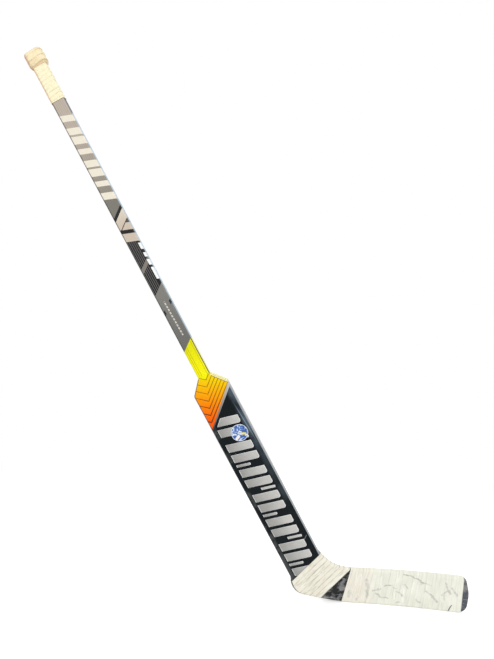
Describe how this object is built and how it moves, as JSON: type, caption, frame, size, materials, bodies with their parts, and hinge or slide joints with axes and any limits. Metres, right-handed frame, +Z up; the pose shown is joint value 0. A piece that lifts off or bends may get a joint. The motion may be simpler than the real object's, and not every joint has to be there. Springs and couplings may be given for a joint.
{
  "type": "hockey goalie stick",
  "caption": "Upright goalkeeper's hockey stick: taped knob and grip on a slim shaft, a wide flat paddle and a curved, tape-wound blade for stopping and passing a puck.",
  "frame": {"origin": "middle of the taped sole of the blade, on the ice", "axes": "+X along the blade to the toe, +Z up from the ice, striking side towards -Y; the shaft leans to -X"},
  "size_m": [1.0371, 0.051, 1.2609],
  "materials": {
    "shaft_laminate": "printed and clear-coated laminate",
    "paddle_laminate": "printed and clear-coated laminate",
    "edge_laminate": "rounded and clear-coated",
    "silver_edge": "silver print under a clear coat",
    "blade_laminate": "scuffed laminate",
    "foam": "closed-cell foam",
    "stiffener": "moulded laminate, glued in",
    "plug": "moulded",
    "knob_roll": "soft build-up roll",
    "grip_cloth": "woven cloth tape",
    "knob_cloth": "woven cloth tape, yellowed",
    "heel_cloth": "woven cloth tape",
    "blade_cloth": "woven cloth tape, scuffed",
    "sticker_film": "printed vinyl"
  },
  "bodies": {
    "root": {"shaft_tube": "shaft_laminate", "butt_plug": "plug", "knob_core": "knob_roll", "knob_tape": "knob_cloth", "grip_tape": "grip_cloth", "paddle_front_skin": "paddle_laminate", "paddle_back_skin": "paddle_laminate", "paddle_heel_rail": "edge_laminate", "paddle_toe_rail": "silver_edge", "paddle_heel_core": "foam", "paddle_toe_core": "foam", "paddle_spar": "stiffener", "joint_tenon": "stiffener", "blade_front_skin": "blade_laminate", "blade_back_skin": "blade_laminate", "blade_edge_band": "edge_laminate", "blade_heel_core": "foam", "blade_middle_core": "foam", "blade_toe_core": "foam", "blade_heel_rib": "stiffener", "blade_toe_rib": "stiffener", "heel_tape": "heel_cloth", "blade_tape": "blade_cloth", "round_sticker": "sticker_film"}
  },
  "joints": []
}
